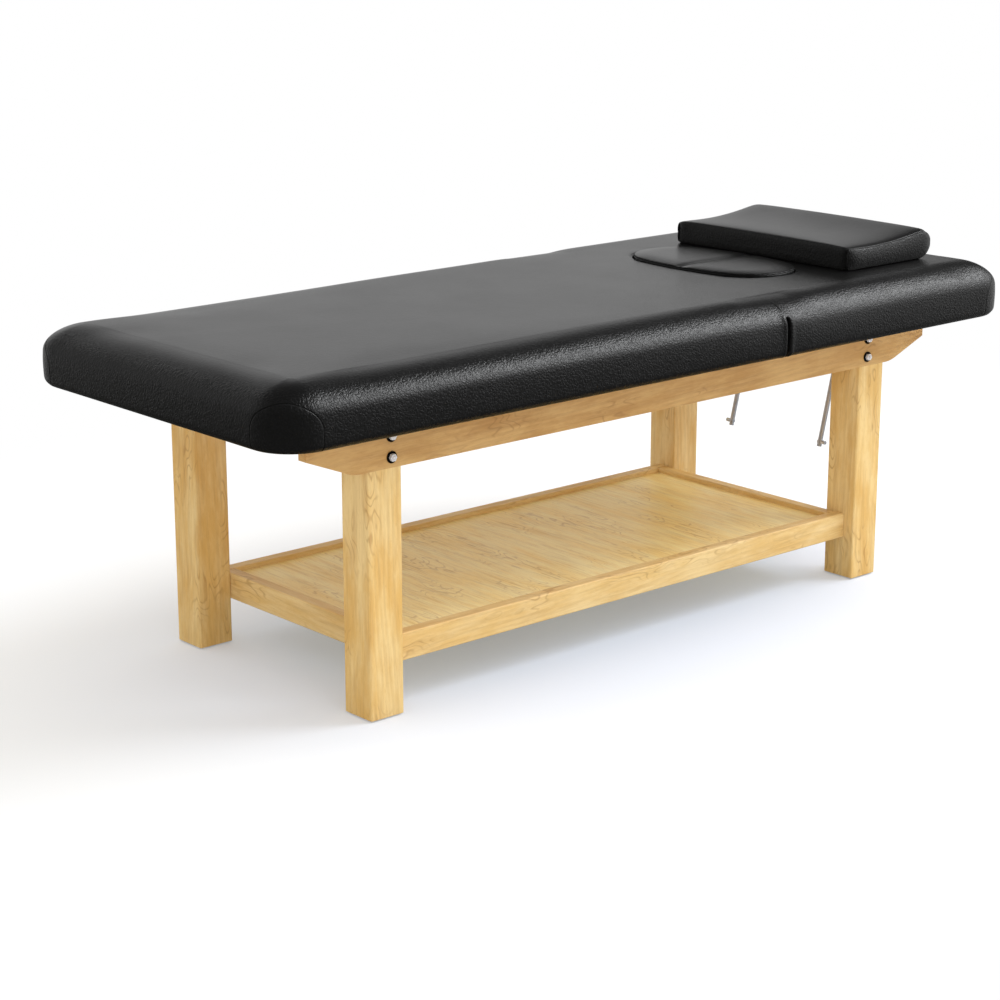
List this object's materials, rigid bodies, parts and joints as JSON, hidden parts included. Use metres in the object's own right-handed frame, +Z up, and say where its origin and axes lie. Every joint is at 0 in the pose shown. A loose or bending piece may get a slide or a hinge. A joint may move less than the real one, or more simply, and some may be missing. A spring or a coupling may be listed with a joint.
{
  "type": "massage table",
  "caption": "Padded massage table on a wooden frame with a storage tray, a tilting head section held by a rod prop, a plugged face hole and a loose pillow.",
  "frame": {"origin": "on the floor, under the middle of the mattress", "axes": "+X along the table to the head end, +Y to the far side, +Z up; the near side is -Y"},
  "size_m": [1.85, 0.777, 0.6903],
  "materials": {
    "solid_wood": "clear satin lacquer on a pale solid hardwood",
    "shelf_plywood": "clear satin lacquer on a veneered panel",
    "board_plywood": "bare plywood",
    "dowel_wood": "fluted hardwood dowel",
    "vinyl": "fine-grained black leatherette over foam",
    "zinc_steel": "bright zinc plate",
    "chrome_rod": "polished chrome plate",
    "black_steel": "black oxide",
    "glide_plastic": "hard plastic nail-on glide"
  },
  "bodies": {
    "frame": {"leg_foot_near": "solid_wood", "leg_foot_far": "solid_wood", "leg_head_near": "solid_wood", "leg_head_far": "solid_wood", "leg_glides": "glide_plastic", "side_rail_near": "solid_wood", "side_rail_far": "solid_wood", "foot_cross_rail": "solid_wood", "main_cross_rail": "solid_wood", "mid_cross_rail": "solid_wood", "head_cross_rail": "solid_wood", "bearer_near": "solid_wood", "bearer_far": "solid_wood", "rack_near": "zinc_steel", "rack_far": "zinc_steel", "rack_screws": "zinc_steel", "bearer_screws": "zinc_steel", "rail_bolts": "zinc_steel", "rail_washers": "black_steel", "rail_inserts": "zinc_steel", "frame_dowels": "dowel_wood", "tray_rail_near": "solid_wood", "tray_rail_far": "solid_wood", "tray_end_foot": "solid_wood", "tray_end_head": "solid_wood", "tray_cleats": "solid_wood", "tray_cross_bars": "solid_wood", "shelf_panel": "shelf_plywood", "tray_dowels": "dowel_wood", "tray_screws": "zinc_steel", "cleat_screws": "zinc_steel", "main_board": "board_plywood", "main_pad": "vinyl", "board_clips": "zinc_steel", "clip_screws": "zinc_steel", "cover_strip": "vinyl", "hinge_leaf_main": "zinc_steel", "hinge_pins": "zinc_steel", "hinge_screws_main": "zinc_steel"},
    "backrest": {"hinge_leaf_back": "zinc_steel", "hinge_screws_back": "zinc_steel", "backrest_board": "board_plywood", "backrest_pad": "vinyl", "plug_ledges": "board_plywood", "ledge_screws": "zinc_steel", "prop_brackets": "zinc_steel", "bracket_screws": "zinc_steel"},
    "prop": {"prop_bail": "chrome_rod", "prop_pegs": "chrome_rod"},
    "face_plug": {"plug_board": "board_plywood", "plug_pad": "vinyl"},
    "pillow": {"pillow": "vinyl"}
  },
  "joints": [
    {"name": "backrest_lift", "type": "hinge", "parent": "frame", "child": "backrest", "pos_m": [0.245, 0, 0.6167], "axis": [0, -1, 0], "range_deg": [0, 35], "deforming": ["cover_strip"]},
    {"name": "prop_swing", "type": "hinge", "parent": "backrest", "child": "prop", "pos_m": [0.71, 0, 0.505], "axis": [0, 1, 0], "range_deg": [-20, 45]},
    {"name": "face_plug_lift", "type": "slide", "parent": "backrest", "child": "face_plug", "axis": [0, 0, 1], "range_m": [0, 0.15]},
    {"name": "pillow_lift", "type": "slide", "parent": "backrest", "child": "pillow", "axis": [0, 0, 1], "range_m": [0, 0.15]}
  ]
}
